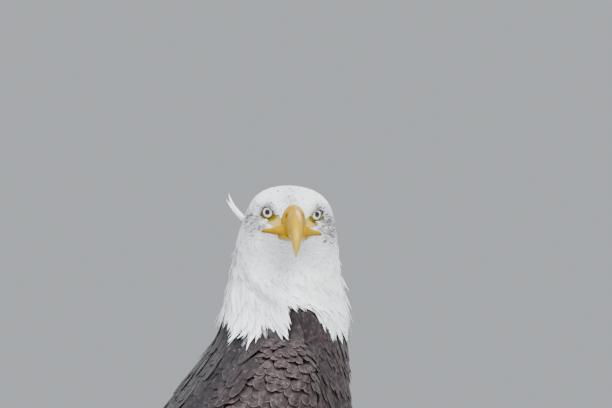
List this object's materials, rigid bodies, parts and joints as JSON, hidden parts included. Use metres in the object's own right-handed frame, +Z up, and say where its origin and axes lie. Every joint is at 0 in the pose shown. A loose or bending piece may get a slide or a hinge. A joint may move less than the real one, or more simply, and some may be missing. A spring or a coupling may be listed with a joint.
{
  "type": "bald eagle",
  "caption": "Life-size adult bald eagle standing on the floor with folded wings and its head turned to its right, as a still museum model.",
  "frame": {"origin": "on the floor under the middle of the bird's bounding box", "axes": "+Z up, the body faces -Y, the bird's left side is +X; the head looks towards -X"},
  "size_m": [0.2374, 0.5376, 0.6249],
  "materials": {
    "white_plumage": "soft white feathers",
    "brown_plumage": "dark brown feathers with paler edges",
    "wing_coverts": "brown scale-like feathers with buff rims",
    "flight_feathers": "blackish brown flight feathers",
    "horn": "smooth yellow horn",
    "cere_skin": "soft yellow skin at the base of the bill",
    "eye": "wet, glossy, cream iris with a black pupil",
    "yellow_skin": "yellow scaled skin",
    "talon": "black claw"
  },
  "bodies": {
    "root": {"head": "white_plumage", "neck": "white_plumage", "trunk": "brown_plumage", "rump": "brown_plumage", "tail": "white_plumage", "cere": "cere_skin", "bill_upper": "horn", "bill_lower": "horn", "eye_L": "eye", "wing_L_coverts": "wing_coverts", "wing_L_secondaries": "flight_feathers", "wing_L_primaries": "flight_feathers", "thigh_L": "brown_plumage", "tarsus_L": "yellow_skin", "toe_L_middle": "yellow_skin", "claw_L_middle": "talon", "toe_L_inner": "yellow_skin", "claw_L_inner": "talon", "toe_L_outer": "yellow_skin", "claw_L_outer": "talon", "toe_L_hind": "yellow_skin", "claw_L_hind": "talon", "eye_R": "eye", "wing_R_coverts": "wing_coverts", "wing_R_secondaries": "flight_feathers", "wing_R_primaries": "flight_feathers", "thigh_R": "brown_plumage", "tarsus_R": "yellow_skin", "toe_R_middle": "yellow_skin", "claw_R_middle": "talon", "toe_R_inner": "yellow_skin", "claw_R_inner": "talon", "toe_R_outer": "yellow_skin", "claw_R_outer": "talon", "toe_R_hind": "yellow_skin", "claw_R_hind": "talon"}
  },
  "joints": []
}
